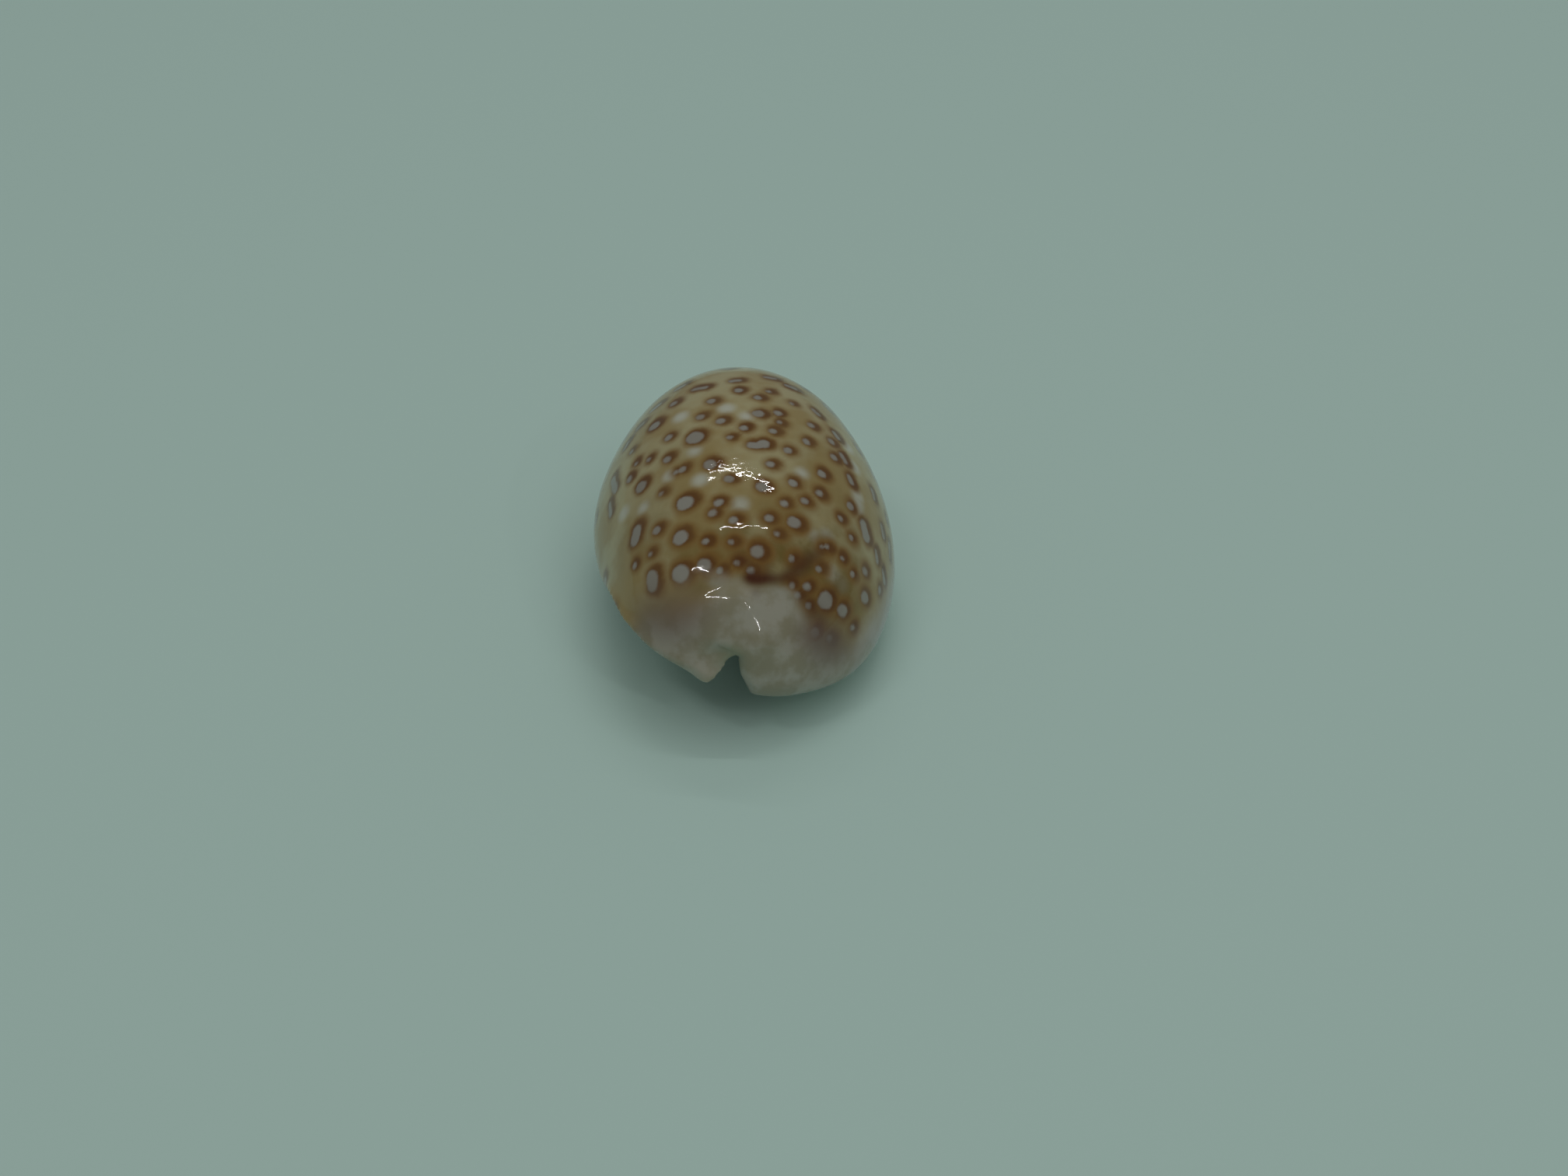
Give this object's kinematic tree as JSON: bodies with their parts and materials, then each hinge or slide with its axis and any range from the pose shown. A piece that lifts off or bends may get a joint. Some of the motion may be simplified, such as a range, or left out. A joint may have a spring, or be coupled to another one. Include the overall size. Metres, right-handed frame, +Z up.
{
  "type": "cowrie shell",
  "caption": "Glossy egg-shaped sea snail shell with a toothed slit along its flat base and a notch at each end, lying base down.",
  "frame": {"origin": "middle of the shell's box, on the surface it lies on", "axes": "+Z up through the back, +Y along the shell towards the anterior end, +X towards the outer lip"},
  "size_m": [0.0146, 0.0241, 0.01],
  "materials": {
    "porcelain": "gloss"
  },
  "bodies": {
    "root": {"shell": "porcelain"}
  },
  "joints": []
}
